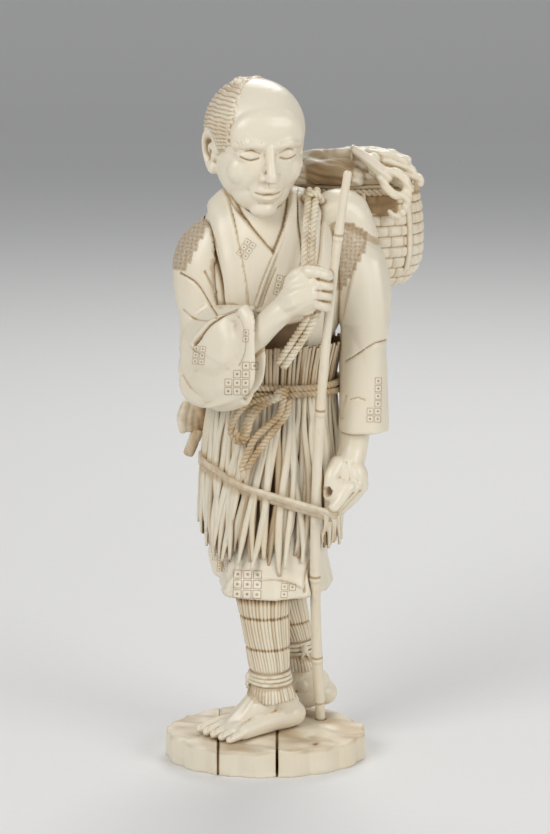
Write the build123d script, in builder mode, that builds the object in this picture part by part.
from build123d import *
import os
from math import cos, pi, radians, sin

# A carved ivory figure of a walking basket carrier with a bamboo staff, built up from pegged sections.
# Millimetres. +Z is up, the figure faces -Y, and the origin is the middle of the base's flat underside.

os.makedirs("parts", exist_ok=True)

# Fits between pegged sections, between pieces that lie on each other, and round the staff
peg_clearance = 0.05
lying_clearance = 0.3
running_clearance = 0.4
full_turn = 360.0

# Base, three planks side by side
base_width = 80.0
base_depth = 62.0
base_height = 11.5
base_lobes = 17
lobe_bulge = 1.3
left_joint_x = -18.7
right_joint_x = 4.4
base_joint_gap = 0.2
base_dowel_radius = 1.6
base_dowel_length = 14.0
base_dowel_spread = 26.0

# Feet, each laid out from its ankle with X towards the toes
front_ankle = (2.2, -3.5)
front_foot_heading = 206.0
front_toe_span = 21.0
rear_ankle = (14.0, 20.5)
rear_foot_heading = 176.0
rear_toe_span = 15.0
toe_reach = 22.0
toe_slant = 7.0
toe_radius = 2.7
toe_count = 5
heel_radius = 6.6
heel_setback = 8.0
sole_thickness = 4.0
instep_reach = 6.0
instep_half_length = 14.0
instep_half_width = 8.0
ankle_height = 17.0
ankle_radius = 6.0
foot_dowel_radius = 1.5
foot_dowel_length = 10.0

# Straw gaiters on the shins, with a cord wound above the ankle
gaiter_ribs = 18
gaiter_rib_bulge = 0.45
gaiter_cuff_radius = 7.9
gaiter_tie_radius = 7.2
gaiter_calf_radius = 10.0
front_cuff_height = 25.0
rear_cuff_height = 27.0
tie_above_cuff = 8.5
front_calf = (-1.5, 1.5)
rear_calf = (4.0, 23.5)
shin_peg_radius = 5.0
shin_peg_length = 9.0
tie_cord_radius = 0.95
tie_turns = 3

# Robe below the waist, its hem turned to take both legs
hem_height = 66.0
hem_center = (3.6, 14.0)
hem_half_across = 20.5
hem_half_along = 25.5
hem_turn = -25.0
knee_height = 80.0
knee_center = (3.2, 13.5)
knee_half_across = 21.0
knee_half_along = 21.5
knee_turn = -22.0
thigh_height = 102.0
thigh_center = (2.0, 12.5)
thigh_half_width = 22.5
thigh_half_depth = 16.5
waist_height = 150.0
waist_center = (3.0, 9.0)
waist_half_width = 21.5
waist_half_depth = 15.5
waist_dowel_radius = 4.0
waist_dowel_length = 18.0

# Robe above the waist, its belly at a share of the way up to the chest
belly_share = 0.48
belly_center = (3.0, 6.0)
belly_half_width = 24.5
belly_half_depth = 18.0
chest_height = 196.0
chest_center = (3.0, 5.0)
chest_half_width = 30.0
chest_half_depth = 20.0
shoulder_height = 213.0
shoulder_center = (1.5, 5.0)
shoulder_half_width = 26.5
shoulder_half_depth = 17.5
collar_height = 227.0
collar_center = (-0.5, 3.0)
collar_half_width = 15.0
collar_half_depth = 12.5

# Straw skirt tied over the robe, its top at a share of the way from the waist to the belly
straw_ribs = 44
straw_rib_bulge = 0.7
straw_hem_height = 85.0
straw_hem_center = (2.0, 13.5)
straw_hem_half_width = 26.0
straw_hem_half_depth = 20.8
straw_hip_height = 108.0
straw_hip_half_width = 26.2
straw_hip_half_depth = 20.4
straw_waist_thickness = 3.0
straw_top_share = 0.77
straw_top_center = (3.5, 6.5)
straw_top_half_width = 27.0
straw_top_half_depth = 21.0

# Ropes, all of one thickness; the bow's points are an x and a drop below the waist
rope_radius = 1.35
waist_rope_turns = 2
bow_knot_radius = 3.0
bow_knot_x = 4.0
bow_tail_foot = (-8.5, 20.0)
bow_tail_spacing = 2.9
bow_loop_top = (-1.0, 2.0)
bow_loop_foot = (-12.5, 14.0)
bow_loop_half_width = 2.6
shoulder_rope_spacing = 2.9
shoulder_rope_route = [(19.0, 22.0, 215.0), (18.5, 9.0, 224.5), (18.0, -4.0, 225.0), (16.5, -16.0, 213.0)]
shoulder_rope_bend = 7.0
rope_beside_grip = 4.0
rope_tail_start = (19.0, -28.0, 187.0)
rope_tail_end = (5.5, -17.3, 161.5)

# Head and neck: round forms from the head's middle, with X to its left, Y to its back and Z to its crown
head_center = (-3.5, -7.0, 246.5)
head_turn = 18.0
head_nod = 12.0
skull_center = (0.0, 2.2, 5.6)
skull_radius = 19.6
face_center = (0.0, -3.5, -6.5)
face_radius = 16.2
nose_bridge = (0.0, -17.0, 3.0)
nose_bridge_radius = 1.8
nose_tip = (0.0, -21.2, -7.2)
nose_tip_radius = 2.3
jaw_center = (0.0, -8.2, -15.2)
jaw_radius = 9.8
chin_center = (0.0, -13.4, -21.2)
chin_radius = 4.2
ear_root = (17.4, 2.2, -2.0)
ear_thickness = 3.2
ear_half_depth = 4.6
ear_half_height = 7.4
hair_thickness = 0.9
hair_corner = (0.0, -4.5, 6.0)
hair_angles = (27.5, -34.0)
nape_center = (0.0, 2.2, -7.5)
neck_radius = 9.5
neck_plug_depth = 9.0
neck_dowel_radius = 1.6
neck_dowel_length = 12.0

# Raised arm, its sleeve a hanging bag with the cuff at the front
raised_shoulder = (-15.0, 6.0, 217.0)
raised_shoulder_half = (8.0, 9.0)
raised_upper_arm = (-20.0, 5.5, 207.0)
raised_upper_arm_half = (13.5, 13.0)
raised_elbow = (-24.0, 3.0, 186.0)
raised_elbow_half = (11.5, 12.5)
raised_bag_top = (-24.5, 1.5, 164.0)
raised_bag_top_half = (9.5, 11.5)
bag_heading = (0.8, -0.6, 0.0)
bag_back = (-26.5, 2.5, 164.0)
bag_back_half = (11.0, 18.0)
bag_middle = (-18.0, -11.0, 163.5)
bag_middle_half = (12.0, 20.5)
raised_cuff = (-7.0, -24.0, 167.0)
raised_cuff_half = (8.0, 19.5)
sleeve_wall = 1.8
cuff_hollow_depth = 8.0
raised_hand_route = [
    (-16.0, -16.5, 163.0),
    (-1.0, -25.5, 177.0),
    (7.0, -28.0, 185.5),
    (13.5, -28.5, 189.5),
    (20.0, -28.0, 191.5),
    (25.5, -27.0, 192.0),
]
raised_hand_halves = [(5.2, 5.2), (5.0, 5.0), (4.3, 4.8), (6.2, 9.0), (6.8, 10.2), (5.0, 8.5)]

# Lowered arm
lowered_shoulder = (27.0, 6.5, 216.5)
lowered_shoulder_half = (8.0, 9.0)
lowered_upper_arm = (32.0, 6.0, 205.0)
lowered_upper_arm_half = (12.5, 12.5)
lowered_elbow = (37.5, 4.5, 182.0)
lowered_elbow_half = (11.3, 13.0)
lowered_cuff = (38.6, 2.0, 134.0)
lowered_cuff_half = (9.6, 12.4)
lowered_hand_route = [
    (38.5, 1.5, 146.0),
    (37.8, -0.5, 132.0),
    (36.8, -3.0, 122.0),
    (34.0, -8.5, 113.5),
    (30.5, -12.5, 105.5),
    (28.0, -14.5, 99.0),
]
lowered_hand_halves = [(5.2, 5.2), (4.8, 5.2), (4.4, 5.2), (7.4, 6.4), (7.6, 6.6), (4.6, 4.8)]
shoulder_dowel_radius = 2.0
shoulder_dowel_length = 10.0

# Staff, an arc through its foot in the base, its middle and its top, and its nodes by height
staff_socket_depth = 4.0
staff_foot = (22.3, 11.0)
staff_middle = (19.6, -9.5, 104.0)
staff_top = (31.0, -31.0, 238.5)
staff_tip_radius = 1.35
staff_tip_length = 12.0
staff_tip_step = 0.6
staff_low_radius = 2.25
staff_top_radius = 1.6
staff_node_bulge = 0.22
staff_node_length = 1.6
staff_node_heights = [38.0, 73.0, 135.0, 207.0]

# Strap across the straw skirt: a band in a tilted plane, straight past the staff to the lowered fist.
# It falls from below the waist to above the fist's end, by a share of that where it leaves the straw.
strap_thickness = 1.5
strap_width = 4.6
strap_start_drop = 22.2
strap_front_share = 0.683
strap_end_rise = 1.7
strap_start_angle = 180.0
strap_wrap_angle = 75.0
strap_reach = 34.0

# Tobacco pouch and pipe case at the hip; each point is an x, a y and a drop below the waist
pouch_center = (-26.8, 18.5, 12.0)
pouch_half_width = 5.5
pouch_half_depth = 6.5
pouch_height = 15.0
pouch_rounding = 3.0
pipe_case_top = (-27.3, 18.0, 19.8)
pipe_case_foot = (-29.8, 15.5, 32.5)
pipe_case_radius = 2.5

# Back basket of woven courses and heavy stakes, with a bundle tied on top; its knot rises from the rim
basket_center = (35.0, 35.0)
basket_floor_height = 185.0
basket_floor_half_width = 19.4
basket_floor_half_depth = 12.6
basket_swell_share = 0.5
basket_half_width = 27.5
basket_half_depth = 19.0
basket_rim_height = 223.0
basket_rim_half_width = 25.5
basket_rim_half_depth = 18.0
basket_courses = 9
course_groove_depth = 1.0
course_groove_width = 0.55
stake_angles = [-38.0, 22.0, 82.0, 142.0]
stake_radius = 1.5
basket_recess = 6.0
rim_hoop_radius = 1.5
basket_peg_radius = 2.0
basket_peg_length = 12.0
basket_peg_x = 17.0
basket_peg_share = 0.3
bundle_height = 15.0
bundle_roll_radius = 2.8
bundle_roll_ends = [(11.0, 28.0), (36.0, 24.0)]
bundle_knot_spot = (41.0, 23.0)
bundle_knot_rise = 8.5
bundle_knot_radius = 6.0
knot_loop_spot = (48.5, 12.0)
knot_loop_rise = 1.5
knot_loop_half_length = 4.5
knot_loop_half_width = 3.4
knot_loop_radius = 2.0


def place(spot, height):
    """The point at a height above a spot on the ground."""
    return (spot[0], spot[1], height)


def oval(center, half_width, half_depth, turn=0.0):
    """A level oval section of a carved form."""
    with BuildSketch(Plane(origin=center)) as section:
        Ellipse(half_width, half_depth, rotation=turn)
    return section.sketch


def facing_oval(center, heading, half_width, half_height):
    """An oval section that faces along a heading, its width level."""
    facing = Vector(*heading).normalized()
    across = Vector(0, 0, 1).cross(facing)
    with BuildSketch(Plane(origin=center, x_dir=across, z_dir=facing)) as section:
        Ellipse(half_width, half_height)
    return section.sketch


def ribbed_oval(center, half_width, half_depth, ribs, bulge):
    """A level oval whose outline is a ring of small outward arcs, one for each rib."""
    step = 2 * pi / ribs
    with BuildSketch(Plane(origin=center)) as section:
        with BuildLine():
            for rib in range(ribs):
                start = rib * step
                middle = start + step / 2
                end = ((rib + 1) % ribs) * step
                ThreePointArc(
                    (half_width * cos(start), half_depth * sin(start)),
                    ((half_width + bulge) * cos(middle), (half_depth + bulge) * sin(middle)),
                    (half_width * cos(end), half_depth * sin(end)),
                )
        make_face()
    return section.sketch


def limb_sections(route, halves):
    """Oval sections along a limb, each facing from the point before it to the point after it."""
    sections = []
    for index, (point, half) in enumerate(zip(route, halves)):
        before = Vector(*route[max(index - 1, 0)])
        after = Vector(*route[min(index + 1, len(route) - 1)])
        sections.append(facing_oval(point, after - before, *half))
    return sections


def level_sections(rows):
    """Level oval sections from rows of a center and its half width and half depth."""
    return [oval(center, *half) for center, half in rows]


def dowel(center, direction, radius, length):
    """A straight round dowel with its middle at center."""
    with BuildPart() as rod:
        with BuildSketch(Plane(origin=center, z_dir=direction)):
            Circle(radius)
        extrude(amount=length / 2, both=True)
    return rod.part


def dowel_hole(center, direction, radius, length):
    """The hole for a dowel, wider all round by the peg clearance."""
    return dowel(center, direction, radius + peg_clearance, length + 2 * peg_clearance)


def rope(points, radius, bend):
    """A round rope along straight runs joined by arcs of one bend radius."""
    with BuildPart() as strand:
        with BuildLine() as route:
            if len(points) > 2:
                FilletPolyline(*points, radius=bend)
            else:
                Line(*points)
        with BuildSketch(Plane(origin=route.line @ 0, z_dir=route.line % 0)):
            Circle(radius)
        sweep()
    return strand.part


def hoop(center, half_width, half_depth, radius, facing=(0, 0, 1)):
    """A closed oval ring of round section."""
    ring_plane = Plane(origin=center, z_dir=facing)
    with BuildPart() as ring:
        with BuildLine(ring_plane) as route:
            EllipticalCenterArc((0, 0), half_width, half_depth, start_angle=0, arc_size=full_turn)
        with BuildSketch(Plane(origin=route.line @ 0, z_dir=route.line % 0)):
            Circle(radius)
        sweep()
    return ring.part


def slot_loop(plane, half_length, half_width, radius):
    """A long closed loop of round section: two straight runs joined by half turns."""
    with BuildPart() as loop:
        with BuildLine(plane) as route:
            reach = half_length + half_width
            Line((-half_length, half_width), (half_length, half_width))
            ThreePointArc((half_length, half_width), (reach, 0), (half_length, -half_width))
            Line((half_length, -half_width), (-half_length, -half_width))
            ThreePointArc((-half_length, -half_width), (-reach, 0), (-half_length, half_width))
        with BuildSketch(Plane(origin=route.line @ 0, z_dir=route.line % 0)):
            Circle(radius)
        sweep()
    return loop.part


# Base planks, pegged to each other and socketed for the feet and the staff
base_outline = ribbed_oval(
    (0, 0, 0), base_width / 2 - lobe_bulge, base_depth / 2 - lobe_bulge, base_lobes, lobe_bulge
)
base_dowel_places = [
    (joint_x, side * base_dowel_spread / 2, base_height / 2)
    for joint_x in (left_joint_x, right_joint_x)
    for side in (-1, 1)
]
foot_dowel_places = [place(front_ankle, base_height), place(rear_ankle, base_height)]
staff_axis = ThreePointArc(place(staff_foot, base_height - staff_socket_depth), staff_middle, staff_top)

# The room that the staff takes as it stands and as it is drawn up along its own bow
staff_room_radius = staff_low_radius + staff_node_bulge + running_clearance

with BuildPart() as staff_room:
    with BuildSketch(Plane(origin=staff_axis @ 0, z_dir=staff_axis % 0)):
        Circle(staff_room_radius)
    sweep(path=staff_axis)

with BuildPart() as base_sockets:
    for spot in base_dowel_places:
        add(dowel_hole(spot, (1, 0, 0), base_dowel_radius, base_dowel_length))
    for spot in foot_dowel_places:
        add(dowel_hole(spot, (0, 0, 1), foot_dowel_radius, foot_dowel_length))
    with BuildSketch(Plane(origin=staff_axis @ 0, z_dir=staff_axis % 0)):
        Circle(staff_tip_radius + running_clearance)
    extrude(amount=2 * staff_socket_depth)

with BuildPart() as base_left_plank:
    extrude(base_outline, amount=base_height)
    split(bisect_by=Plane.YZ.offset(left_joint_x - base_joint_gap / 2), keep=Keep.BOTTOM)
    add(base_sockets.part, mode=Mode.SUBTRACT)

with BuildPart() as base_middle_plank:
    extrude(base_outline, amount=base_height)
    split(bisect_by=Plane.YZ.offset(left_joint_x + base_joint_gap / 2), keep=Keep.TOP)
    split(bisect_by=Plane.YZ.offset(right_joint_x - base_joint_gap / 2), keep=Keep.BOTTOM)
    add(base_sockets.part, mode=Mode.SUBTRACT)

with BuildPart() as base_right_plank:
    extrude(base_outline, amount=base_height)
    split(bisect_by=Plane.YZ.offset(right_joint_x + base_joint_gap / 2), keep=Keep.TOP)
    add(base_sockets.part, mode=Mode.SUBTRACT)

with BuildPart() as base_dowels:
    for spot in base_dowel_places:
        add(dowel(spot, (1, 0, 0), base_dowel_radius, base_dowel_length))

# Feet


def foot_plane(ankle, heading):
    """The ground plane of a foot, at its ankle with X towards the toes."""
    turn = radians(heading)
    return Plane(origin=place(ankle, base_height), x_dir=(cos(turn), sin(turn), 0), z_dir=(0, 0, 1))


def toe_spots(toe_span):
    """The toe centers from the big toe to the little toe, in the foot's own plane."""
    shares = [index / (toe_count - 1) for index in range(toe_count)]
    return [(toe_reach - toe_slant * share, (share - 0.5) * toe_span) for share in shares]


def sole_outline(plane, toe_span):
    """The outline of the sole: the hull of the heel and the toes."""
    with BuildSketch(plane) as outline:
        with Locations((-heel_setback, 0)):
            Circle(heel_radius)
        with Locations(*toe_spots(toe_span)):
            Circle(toe_radius)
        make_hull()
    return outline.sketch


def instep_sections(plane):
    """Oval sections from the arch of the foot up to the ankle."""
    rise = plane.z_dir
    reach = plane.x_dir
    arch_height = 0.25 * sole_thickness
    slope_height = 0.5 * (sole_thickness + ankle_height)
    rows = [
        (arch_height, instep_reach, instep_half_length, instep_half_width),
        (slope_height, 0.35 * instep_reach, 0.75 * instep_half_length, instep_half_width),
        (ankle_height, 0, ankle_radius, ankle_radius),
    ]
    sections = []
    for height, ahead, half_length, half_width in rows:
        spot = plane.origin + rise * height + reach * ahead
        with BuildSketch(Plane(origin=spot, x_dir=reach, z_dir=rise)) as section:
            Ellipse(half_length, half_width)
        sections.append(section.sketch)
    return sections


foot_dowel_holes = [
    dowel_hole(spot, (0, 0, 1), foot_dowel_radius, foot_dowel_length) for spot in foot_dowel_places
]
front_foot_plane = foot_plane(front_ankle, front_foot_heading)
rear_foot_plane = foot_plane(rear_ankle, rear_foot_heading)

with BuildPart() as front_foot:
    extrude(sole_outline(front_foot_plane, front_toe_span), amount=sole_thickness)
    fillet(front_foot.edges().group_by(Axis.Z)[-1], radius=0.4 * sole_thickness)
    loft(sections=instep_sections(front_foot_plane))
    add(foot_dowel_holes[0], mode=Mode.SUBTRACT)

with BuildPart() as rear_foot:
    extrude(sole_outline(rear_foot_plane, rear_toe_span), amount=sole_thickness)
    fillet(rear_foot.edges().group_by(Axis.Z)[-1], radius=0.4 * sole_thickness)
    loft(sections=instep_sections(rear_foot_plane))
    add(foot_dowel_holes[1], mode=Mode.SUBTRACT)

with BuildPart() as foot_dowels:
    for spot in foot_dowel_places:
        add(dowel(spot, (0, 0, 1), foot_dowel_radius, foot_dowel_length))

# Gaiters: a cuff over the ankle, a tied waist and the calf, with a peg into the robe


def gaiter_spots(ankle, calf, cuff_height):
    """The centers of a gaiter's cuff, tie and calf, on the line of the shin."""
    cuff = Vector(*place(ankle, cuff_height))
    top = Vector(*place(calf, hem_height))
    tie = cuff + (top - cuff) * (tie_above_cuff / (hem_height - cuff_height))
    return cuff, tie, top


def gaiter_sections(spots):
    """Ribbed sections of a gaiter from its cuff to its top."""
    radii = (gaiter_cuff_radius, gaiter_tie_radius, gaiter_calf_radius)
    return [
        ribbed_oval(spot, radius, radius, gaiter_ribs, gaiter_rib_bulge) for spot, radius in zip(spots, radii)
    ]


def shin_peg(calf, clearance=0.0):
    """The peg that stands on a gaiter and enters the robe, or its socket with a clearance."""
    with BuildPart() as stub:
        with BuildSketch(Plane(origin=place(calf, hem_height))):
            Circle(shin_peg_radius + clearance)
        extrude(amount=shin_peg_length + clearance)
    return stub.part


def ankle_socket(ankle):
    """The hollow in a gaiter's cuff for the ankle, up to the ankle's flat top."""
    with BuildPart() as hollow:
        with BuildSketch(Plane(origin=place(ankle, base_height))):
            Circle(ankle_radius + lying_clearance)
        extrude(amount=ankle_height)
    return hollow.part


def gaiter_tie(spots):
    """Turns of cord wound round the tied waist of a gaiter, stacked along the shin."""
    cuff, tie_spot, top = spots
    shin = (top - cuff) / (top.Z - cuff.Z)
    around = gaiter_tie_radius + gaiter_rib_bulge + tie_cord_radius + lying_clearance
    with BuildPart() as turns:
        for turn in range(tie_turns):
            rise = (turn - (tie_turns - 1) / 2) * 2 * (tie_cord_radius + peg_clearance)
            add(hoop(tie_spot + shin * rise, around, around, tie_cord_radius))
    return turns.part


front_gaiter_spots = gaiter_spots(front_ankle, front_calf, front_cuff_height)
rear_gaiter_spots = gaiter_spots(rear_ankle, rear_calf, rear_cuff_height)

with BuildPart() as front_gaiter:
    loft(sections=gaiter_sections(front_gaiter_spots))
    add(shin_peg(front_calf))
    add(ankle_socket(front_ankle), mode=Mode.SUBTRACT)
    add(front_foot.part, mode=Mode.SUBTRACT)

with BuildPart() as rear_gaiter:
    loft(sections=gaiter_sections(rear_gaiter_spots))
    add(shin_peg(rear_calf))
    add(ankle_socket(rear_ankle), mode=Mode.SUBTRACT)
    add(rear_foot.part, mode=Mode.SUBTRACT)

with BuildPart() as front_gaiter_tie:
    add(gaiter_tie(front_gaiter_spots))

with BuildPart() as rear_gaiter_tie:
    add(gaiter_tie(rear_gaiter_spots))

# Head on its neck, turned and bowed
neck_seat = place(collar_center, collar_height - neck_plug_depth)
neck_dowel_hole = dowel_hole(neck_seat, (0, 0, 1), neck_dowel_radius, neck_dowel_length)
turn_angle = radians(head_turn)
nod_angle = radians(head_nod)
head_plane = Plane(
    origin=head_center,
    x_dir=(cos(turn_angle), sin(turn_angle), 0),
    z_dir=(sin(nod_angle) * sin(turn_angle), -sin(nod_angle) * cos(turn_angle), cos(nod_angle)),
)


with BuildPart() as hair:
    with Locations(skull_center):
        Sphere(skull_radius + hair_thickness)
    for angle in hair_angles:
        line_facing = (0, cos(radians(angle)), sin(radians(angle)))
        split(bisect_by=Plane(origin=hair_corner, z_dir=line_facing), keep=Keep.TOP)

with BuildPart() as ears:
    for side in (-1, 1):
        root = (side * ear_root[0], ear_root[1], ear_root[2])
        with BuildSketch(Plane(origin=root, x_dir=(0, 1, 0), z_dir=(side, 0, 0))):
            Ellipse(ear_half_depth, ear_half_height)
        extrude(amount=ear_thickness)

with BuildPart() as face:
    with Locations(face_center):
        Sphere(face_radius)
    with Locations(jaw_center):
        Sphere(jaw_radius)
    with Locations(chin_center):
        Sphere(chin_radius)
    nose_line = Vector(*nose_tip) - Vector(*nose_bridge)
    loft(
        sections=[
            facing_oval(nose_bridge, nose_line, nose_bridge_radius, nose_bridge_radius),
            facing_oval(nose_tip, nose_line, nose_tip_radius, nose_tip_radius),
        ]
    )
    with Locations(nose_tip):
        Sphere(nose_tip_radius)

with BuildPart() as head:
    with BuildPart(mode=Mode.PRIVATE) as head_form:
        with Locations(skull_center):
            Sphere(skull_radius)
        add(face.part)
        add(hair.part)
        add(ears.part)
    add(head_plane.location * head_form.part)
    nape = head_plane.from_local_coords(nape_center)
    loft(sections=[oval(neck_seat, neck_radius, neck_radius), oval(nape, neck_radius, neck_radius)])
    add(neck_dowel_hole, mode=Mode.SUBTRACT)

# Robe, in two sections that meet at the waist on a dowel
waist_point = place(waist_center, waist_height)
waist_dowel_hole = dowel_hole(waist_point, (0, 0, 1), waist_dowel_radius, waist_dowel_length)
waist_section = oval(waist_point, waist_half_width, waist_half_depth)

with BuildPart() as robe_skirt:
    loft(
        sections=[
            oval(place(hem_center, hem_height), hem_half_across, hem_half_along, hem_turn),
            oval(place(knee_center, knee_height), knee_half_across, knee_half_along, knee_turn),
            oval(place(thigh_center, thigh_height), thigh_half_width, thigh_half_depth),
            waist_section,
        ],
        ruled=True,
    )
    add(staff_room.part, mode=Mode.SUBTRACT)
    for calf in (front_calf, rear_calf):
        add(shin_peg(calf, peg_clearance), mode=Mode.SUBTRACT)
    add(waist_dowel_hole, mode=Mode.SUBTRACT)

shoulder_dowel_height = (chest_height + shoulder_height) / 2
shoulder_dowel_y = (chest_center[1] + shoulder_center[1]) / 2
shoulder_side = (chest_half_width + shoulder_half_width) / 2
shoulder_middle_x = (chest_center[0] + shoulder_center[0]) / 2
shoulder_dowel_places = [
    (shoulder_middle_x + side * shoulder_side, shoulder_dowel_y, shoulder_dowel_height) for side in (-1, 1)
]
shoulder_dowel_holes = [
    dowel_hole(spot, (1, 0, 0), shoulder_dowel_radius, shoulder_dowel_length)
    for spot in shoulder_dowel_places
]
basket_rise = basket_rim_height - basket_floor_height
basket_swell_height = basket_floor_height + basket_swell_share * basket_rise
basket_peg_y = chest_center[1] + 0.75 * chest_half_depth
basket_peg_place = (basket_peg_x, basket_peg_y, basket_floor_height + basket_peg_share * basket_rise)
basket_peg_hole = dowel_hole(basket_peg_place, (0, 1, 0), basket_peg_radius, basket_peg_length)

belly_height = waist_height + belly_share * (chest_height - waist_height)

with BuildPart() as upper_robe:
    loft(
        sections=[
            waist_section,
            oval(place(belly_center, belly_height), belly_half_width, belly_half_depth),
            oval(place(chest_center, chest_height), chest_half_width, chest_half_depth),
            oval(place(shoulder_center, shoulder_height), shoulder_half_width, shoulder_half_depth),
            oval(place(collar_center, collar_height), collar_half_width, collar_half_depth),
        ]
    )
    add(head.part, mode=Mode.SUBTRACT)
    add(waist_dowel_hole, mode=Mode.SUBTRACT)
    add(neck_dowel_hole, mode=Mode.SUBTRACT)
    add(basket_peg_hole, mode=Mode.SUBTRACT)
    for hole in shoulder_dowel_holes:
        add(hole, mode=Mode.SUBTRACT)

with BuildPart() as waist_dowel:
    add(dowel(waist_point, (0, 0, 1), waist_dowel_radius, waist_dowel_length))

with BuildPart() as neck_dowel:
    add(dowel(neck_seat, (0, 0, 1), neck_dowel_radius, neck_dowel_length))

with BuildPart() as shoulder_dowels:
    for spot in shoulder_dowel_places:
        add(dowel(spot, (1, 0, 0), shoulder_dowel_radius, shoulder_dowel_length))

with BuildPart() as basket_peg:
    add(dowel(basket_peg_place, (0, 1, 0), basket_peg_radius, basket_peg_length))

# Straw skirt, a ribbed shell over both sections of the robe
straw_waist_half_width = waist_half_width + straw_waist_thickness
straw_waist_half_depth = waist_half_depth + straw_waist_thickness
straw_top_height = waist_height + straw_top_share * (belly_height - waist_height)
straw_rows = [
    (place(straw_hem_center, straw_hem_height), straw_hem_half_width, straw_hem_half_depth),
    (place(straw_hem_center, straw_hip_height), straw_hip_half_width, straw_hip_half_depth),
    (waist_point, straw_waist_half_width, straw_waist_half_depth),
    (place(straw_top_center, straw_top_height), straw_top_half_width, straw_top_half_depth),
]

with BuildPart() as straw_skirt:
    loft(sections=[ribbed_oval(*row, straw_ribs, straw_rib_bulge) for row in straw_rows])
    add(robe_skirt.part, mode=Mode.SUBTRACT)
    add(upper_robe.part, mode=Mode.SUBTRACT)
    add(waist_dowel_hole, mode=Mode.SUBTRACT)

# The room that the straw skirt takes, for what lies on it
straw_margin = straw_rib_bulge + lying_clearance

with BuildPart() as straw_room:
    loft(
        sections=[
            oval(center, half_width + straw_margin, half_depth + straw_margin)
            for center, half_width, half_depth in straw_rows
        ]
    )

# Waist rope and its bow at the front
rope_off_straw = straw_margin + rope_radius
waist_rope_half_width = straw_waist_half_width + rope_off_straw
waist_rope_half_depth = straw_waist_half_depth + rope_off_straw

with BuildPart() as waist_rope:
    for turn in range(waist_rope_turns):
        rise = (turn - (waist_rope_turns - 1) / 2) * 2 * (rope_radius + peg_clearance)
        turn_center = place(waist_center, waist_height + rise)
        add(hoop(turn_center, waist_rope_half_width, waist_rope_half_depth, rope_radius))


with BuildPart() as waist_rope_room:
    rope_room_margin = rope_radius + lying_clearance
    extrude(
        oval(waist_point, waist_rope_half_width + rope_room_margin, waist_rope_half_depth + rope_room_margin),
        amount=waist_rope_turns * rope_radius + lying_clearance,
        both=True,
    )


def straw_front(x, drop):
    """The Y of a rope that lies on the front of the straw skirt, at an x and a drop below the waist."""
    share = drop / (waist_height - straw_hip_height)
    half_width = waist_rope_half_width + share * (straw_hip_half_width - straw_waist_half_width)
    half_depth = waist_rope_half_depth + share * (straw_hip_half_depth - straw_waist_half_depth)
    center_x = waist_center[0] + share * (straw_hem_center[0] - waist_center[0])
    center_y = waist_center[1] + share * (straw_hem_center[1] - waist_center[1])
    across = (x - center_x) / half_width
    return center_y - half_depth * (1 - across**2) ** 0.5


def on_straw(spot):
    """The point of a rope's middle on the front of the straw skirt, from its x and its drop."""
    return Vector(spot[0], straw_front(*spot), waist_height - spot[1])


def hung(spot):
    """The point at an x, a y and a drop below the waist."""
    return Vector(spot[0], spot[1], waist_height - spot[2])


bow_knot = on_straw((bow_knot_x, 0)) - Vector(0, rope_radius, 0)
bow_loop_ends = [on_straw(spot) - Vector(0, rope_radius, 0) for spot in (bow_loop_top, bow_loop_foot)]
bow_loop_axis = bow_loop_ends[1] - bow_loop_ends[0]
bow_loop_half_length = bow_loop_axis.length / 2
bow_loop_plane = Plane(
    origin=(bow_loop_ends[0] + bow_loop_ends[1]) * 0.5,
    x_dir=bow_loop_axis,
    z_dir=bow_loop_axis.cross(bow_loop_axis.cross(Vector(0, 1, 0))),
)

with BuildPart() as waist_bow:
    with Locations(bow_knot):
        Sphere(bow_knot_radius)
    add(slot_loop(bow_loop_plane, bow_loop_half_length, bow_loop_half_width, rope_radius))
    for side in (-0.5, 0.5):
        foot_x = bow_tail_foot[0] + side * bow_tail_spacing
        middle = ((bow_knot_x + foot_x) / 2, bow_tail_foot[1] / 2)
        foot = on_straw((foot_x, bow_tail_foot[1]))
        add(rope([bow_knot, on_straw(middle), foot], rope_radius, bow_knot_radius))
    add(straw_room.part, mode=Mode.SUBTRACT)
    add(waist_rope.part, mode=Mode.SUBTRACT)

# Raised arm
raised_hand_sections = limb_sections(raised_hand_route, raised_hand_halves)
with BuildPart() as raised_hand:
    loft(sections=raised_hand_sections, ruled=True)
    add(staff_room.part, mode=Mode.SUBTRACT)

with BuildPart() as raised_sleeve:
    loft(
        sections=level_sections(
            [
                (raised_shoulder, raised_shoulder_half),
                (raised_upper_arm, raised_upper_arm_half),
                (raised_elbow, raised_elbow_half),
                (raised_bag_top, raised_bag_top_half),
            ]
        )
    )
    loft(
        sections=[
            facing_oval(bag_back, bag_heading, *bag_back_half),
            facing_oval(bag_middle, bag_heading, *bag_middle_half),
            facing_oval(raised_cuff, bag_heading, *raised_cuff_half),
        ]
    )
    cuff_opening = [half - sleeve_wall for half in raised_cuff_half]
    raised_opening = facing_oval(raised_cuff, bag_heading, *cuff_opening)
    extrude(raised_opening, amount=-cuff_hollow_depth, mode=Mode.SUBTRACT)
    add(upper_robe.part, mode=Mode.SUBTRACT)
    add(straw_room.part, mode=Mode.SUBTRACT)
    add(waist_rope_room.part, mode=Mode.SUBTRACT)
    add(waist_bow.part, mode=Mode.SUBTRACT)
    loft(sections=raised_hand_sections, ruled=True, mode=Mode.SUBTRACT)
    for hole in shoulder_dowel_holes:
        add(hole, mode=Mode.SUBTRACT)

# Lowered arm
lowered_hand_sections = limb_sections(lowered_hand_route, lowered_hand_halves)

with BuildPart() as lowered_hand:
    loft(sections=lowered_hand_sections, ruled=True)

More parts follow.
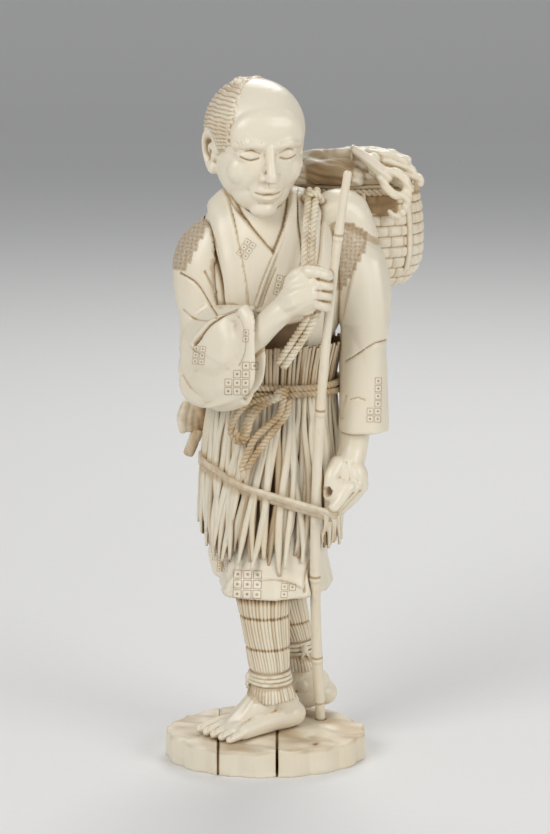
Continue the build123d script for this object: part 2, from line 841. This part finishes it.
with BuildPart() as lowered_sleeve:
    loft(
        sections=level_sections(
            [
                (lowered_shoulder, lowered_shoulder_half),
                (lowered_upper_arm, lowered_upper_arm_half),
                (lowered_elbow, lowered_elbow_half),
                (lowered_cuff, lowered_cuff_half),
            ]
        )
    )
    lowered_opening = [half - sleeve_wall for half in lowered_cuff_half]
    extrude(oval(lowered_cuff, *lowered_opening), amount=cuff_hollow_depth, mode=Mode.SUBTRACT)
    add(upper_robe.part, mode=Mode.SUBTRACT)
    add(straw_room.part, mode=Mode.SUBTRACT)
    add(waist_rope_room.part, mode=Mode.SUBTRACT)
    add(lowered_hand.part, mode=Mode.SUBTRACT)
    for hole in shoulder_dowel_holes:
        add(hole, mode=Mode.SUBTRACT)

# Strap: laid round the straw skirt, then straight past the staff, cut to a band by its tilted plane
strap_off_straw = straw_margin + strap_thickness / 2
strap_start_height = waist_height - strap_start_drop
strap_end_height = lowered_hand_route[-1][2] + strap_end_rise
strap_front_height = strap_start_height + strap_front_share * (strap_end_height - strap_start_height)
strap_plane_size = 4 * base_width

with BuildPart() as strap:
    with BuildSketch():
        with BuildLine():
            wrap = EllipticalCenterArc(
                straw_hem_center,
                straw_hip_half_width + strap_off_straw,
                straw_hip_half_depth + strap_off_straw,
                start_angle=strap_start_angle,
                arc_size=strap_wrap_angle,
            )
            straight = Line(wrap @ 1, (wrap @ 1) + (wrap % 1) * strap_reach)
        trace(line_width=strap_thickness)
    extrude(amount=waist_height)
    strap_start = (wrap @ 0) + Vector(0, 0, strap_start_height)
    strap_front = (wrap @ 1) + Vector(0, 0, strap_front_height)
    strap_end = (straight @ 1) + Vector(0, 0, strap_end_height)
    strap_facing = (strap_front - strap_start).cross(strap_end - strap_front)
    with BuildSketch(Plane(origin=strap_front, x_dir=strap_end - strap_front, z_dir=strap_facing)):
        Rectangle(strap_plane_size, strap_plane_size)
    extrude(amount=strap_width / 2, both=True, mode=Mode.INTERSECT)
    add(lowered_hand.part, mode=Mode.SUBTRACT)

# Tobacco pouch and pipe case
with BuildPart() as tobacco_pouch:
    with BuildSketch(Plane(origin=hung(pouch_center))):
        Ellipse(pouch_half_width, pouch_half_depth)
    extrude(amount=pouch_height / 2, both=True)
    fillet(tobacco_pouch.edges(), radius=pouch_rounding)
    add(straw_room.part, mode=Mode.SUBTRACT)

pipe_case_axis = hung(pipe_case_foot) - hung(pipe_case_top)

with BuildPart() as pipe_case:
    with BuildSketch(Plane(origin=hung(pipe_case_top), z_dir=pipe_case_axis)):
        Circle(pipe_case_radius)
    extrude(amount=pipe_case_axis.length)
    fillet(pipe_case.edges(), radius=0.6 * pipe_case_radius)
    add(straw_room.part, mode=Mode.SUBTRACT)
    add(tobacco_pouch.part, mode=Mode.SUBTRACT)

# Back basket, fitted to the back of the robe and the sleeve


def basket_half(height):
    """The half width and half depth of the basket's wall at a height."""
    if height < basket_swell_height:
        share = ((basket_swell_height - height) / (basket_swell_height - basket_floor_height)) ** 3
        end_half = (basket_floor_half_width, basket_floor_half_depth)
    else:
        share = ((height - basket_swell_height) / (basket_rim_height - basket_swell_height)) ** 2
        end_half = (basket_rim_half_width, basket_rim_half_depth)
    swell_half = (basket_half_width, basket_half_depth)
    return [swell + share * (end - swell) for swell, end in zip(swell_half, end_half)]


def basket_section(height, inset=0.0):
    """A level section of the basket's wall."""
    half_width, half_depth = basket_half(height)
    return oval(place(basket_center, height), half_width - inset, half_depth - inset)


def stake_spot(angle, height):
    """The point of the basket's wall at an angle and a height."""
    half_width, half_depth = basket_half(height)
    turn = radians(angle)
    return (basket_center[0] + half_width * cos(turn), basket_center[1] + half_depth * sin(turn), height)


course_height = basket_rise / basket_courses
basket_sections = []
for course in range(basket_courses):
    course_floor = basket_floor_height + course * course_height
    basket_sections.append(basket_section(course_floor, course_groove_depth))
    basket_sections.append(basket_section(course_floor + course_groove_width))
    basket_sections.append(basket_section(course_floor + course_height - course_groove_width))
basket_sections.append(basket_section(basket_rim_height, course_groove_depth))
stake_foot_height = basket_floor_height + course_height

# The room that the basket takes, for the ropes that end on it
with BuildPart() as basket_room:
    course_heights = [basket_floor_height + course * course_height for course in range(basket_courses + 1)]
    loft(sections=[basket_section(height) for height in course_heights], ruled=True)
rim_half_width = basket_rim_half_width - rim_hoop_radius
rim_half_depth = basket_rim_half_depth - rim_hoop_radius
rim_hoop_height = basket_rim_height + rim_hoop_radius
bundle_seat_height = basket_rim_height - basket_recess
bundle_top_height = rim_hoop_height + rim_hoop_radius + bundle_height
mouth_half_width = rim_half_width - rim_hoop_radius
mouth_half_depth = rim_half_depth - rim_hoop_radius

with BuildPart() as basket:
    loft(sections=basket_sections, ruled=True)
    for angle in stake_angles:
        stake_heights = (stake_foot_height, basket_swell_height, basket_rim_height)
        stake_route = [stake_spot(angle, height) for height in stake_heights]
        add(rope(stake_route, stake_radius, course_height))
    extrude(
        oval(place(basket_center, basket_rim_height), mouth_half_width, mouth_half_depth),
        amount=-basket_recess,
        mode=Mode.SUBTRACT,
    )
    add(upper_robe.part, mode=Mode.SUBTRACT)
    add(lowered_sleeve.part, mode=Mode.SUBTRACT)
    add(basket_peg_hole, mode=Mode.SUBTRACT)

with BuildPart() as basket_rim:
    add(hoop(place(basket_center, rim_hoop_height), rim_half_width, rim_half_depth, rim_hoop_radius))
    add(basket.part, mode=Mode.SUBTRACT)
    add(lowered_sleeve.part, mode=Mode.SUBTRACT)

bundle_rows = [
    (bundle_seat_height, mouth_half_width - lying_clearance, mouth_half_depth - lying_clearance),
    (rim_hoop_height, mouth_half_width - lying_clearance, mouth_half_depth - lying_clearance),
    (bundle_top_height - 0.45 * bundle_height, 0.95 * mouth_half_width, 0.9 * mouth_half_depth),
    (bundle_top_height - 0.1 * bundle_height, 0.6 * mouth_half_width, 0.5 * mouth_half_depth),
    (bundle_top_height, 0.2 * mouth_half_width, 0.15 * mouth_half_depth),
]

with BuildPart() as bundle:
    bundle_sections = [oval(place(basket_center, height), *half) for height, *half in bundle_rows]
    loft(sections=bundle_sections, ruled=True)

bundle_knot_center = Vector(*place(bundle_knot_spot, rim_hoop_height + bundle_knot_rise))
knot_loop_center = Vector(*place(knot_loop_spot, rim_hoop_height + knot_loop_rise))

with BuildPart() as bundle_knot:
    with Locations(bundle_knot_center):
        Sphere(bundle_knot_radius)
    knot_loop_slope = knot_loop_center - bundle_knot_center
    loop_facing = knot_loop_slope.cross(knot_loop_slope.cross(Vector(0, 1, 0)))
    loop_plane = Plane(origin=knot_loop_center, x_dir=knot_loop_slope, z_dir=loop_facing)
    add(slot_loop(loop_plane, knot_loop_half_length, knot_loop_half_width, knot_loop_radius))
    add(bundle.part, mode=Mode.SUBTRACT)

roll_height = bundle_top_height - 0.2 * bundle_height

with BuildPart() as bundle_roll:
    add(rope([place(end, roll_height) for end in bundle_roll_ends], bundle_roll_radius, bundle_roll_radius))
    add(bundle.part, mode=Mode.SUBTRACT)
    add(bundle_knot.part, mode=Mode.SUBTRACT)

# Ropes from the basket over the shoulder into the raised fist, and their tails below it
raised_grip = raised_hand_route[4]

with BuildPart() as shoulder_ropes:
    for side in (-0.5, 0.5):
        shift = Vector(side * shoulder_rope_spacing, 0, 0)
        route = [Vector(*spot) + shift for spot in shoulder_rope_route]
        route.append(Vector(*raised_grip) - Vector(rope_beside_grip, 0, 0) + shift)
        add(rope(route, rope_radius, shoulder_rope_bend))
    add(upper_robe.part, mode=Mode.SUBTRACT)
    add(basket_room.part, mode=Mode.SUBTRACT)
    loft(sections=raised_hand_sections, ruled=True, mode=Mode.SUBTRACT)

with BuildPart() as rope_tails:
    tail = Vector(*rope_tail_end) - Vector(*rope_tail_start)
    beside = tail.cross(Vector(0, 1, 0)).normalized()
    for side in (-0.5, 0.5):
        shift = beside * side * shoulder_rope_spacing
        ends = [Vector(*spot) + shift for spot in (rope_tail_start, rope_tail_end)]
        add(rope(ends, rope_radius, rope_radius))
    loft(sections=raised_hand_sections, ruled=True, mode=Mode.SUBTRACT)

# Staff of bamboo: round sections along its arc, swelling at each node
staff_rise = staff_top[2] - (base_height - staff_socket_depth)


def staff_section(distance, radius):
    """A round section of the staff at a distance along its arc from its foot."""
    share = distance / staff_axis.length
    with BuildSketch(Plane(origin=staff_axis @ share, x_dir=(1, 0, 0), z_dir=staff_axis % share)) as section:
        Circle(radius)
    return section.sketch


def staff_radius(distance):
    """The staff's radius between nodes at a distance along its arc."""
    return staff_low_radius + (staff_top_radius - staff_low_radius) * distance / staff_axis.length


staff_rows = [(0, staff_tip_radius), (staff_tip_length, staff_tip_radius)]
staff_rows.append((staff_tip_length + staff_tip_step, staff_radius(staff_tip_length)))
for height in staff_node_heights:
    distance = (height - base_height + staff_socket_depth) / staff_rise * staff_axis.length
    for step, bulge in ((-0.5, 0), (0, staff_node_bulge), (0.5, 0)):
        staff_rows.append((distance + step * staff_node_length, staff_radius(distance) + bulge))
staff_rows.append((staff_axis.length, staff_top_radius))

with BuildPart() as staff:
    loft(sections=[staff_section(*row) for row in staff_rows], ruled=True)

pieces = {
    "base_left_plank": base_left_plank,
    "base_middle_plank": base_middle_plank,
    "base_right_plank": base_right_plank,
    "base_dowels": base_dowels,
    "front_foot": front_foot,
    "rear_foot": rear_foot,
    "foot_dowels": foot_dowels,
    "front_gaiter": front_gaiter,
    "rear_gaiter": rear_gaiter,
    "front_gaiter_tie": front_gaiter_tie,
    "rear_gaiter_tie": rear_gaiter_tie,
    "robe_skirt": robe_skirt,
    "upper_robe": upper_robe,
    "waist_dowel": waist_dowel,
    "shoulder_dowels": shoulder_dowels,
    "straw_skirt": straw_skirt,
    "waist_rope": waist_rope,
    "waist_bow": waist_bow,
    "head": head,
    "neck_dowel": neck_dowel,
    "raised_sleeve": raised_sleeve,
    "raised_hand": raised_hand,
    "lowered_sleeve": lowered_sleeve,
    "lowered_hand": lowered_hand,
    "strap": strap,
    "tobacco_pouch": tobacco_pouch,
    "pipe_case": pipe_case,
    "basket": basket,
    "basket_rim": basket_rim,
    "basket_peg": basket_peg,
    "bundle": bundle,
    "bundle_roll": bundle_roll,
    "bundle_knot": bundle_knot,
    "shoulder_ropes": shoulder_ropes,
    "rope_tails": rope_tails,
    "staff": staff,
}
for name, piece in pieces.items():
    piece.part.label = name
    export_step(piece.part, f"parts/{name}.step")
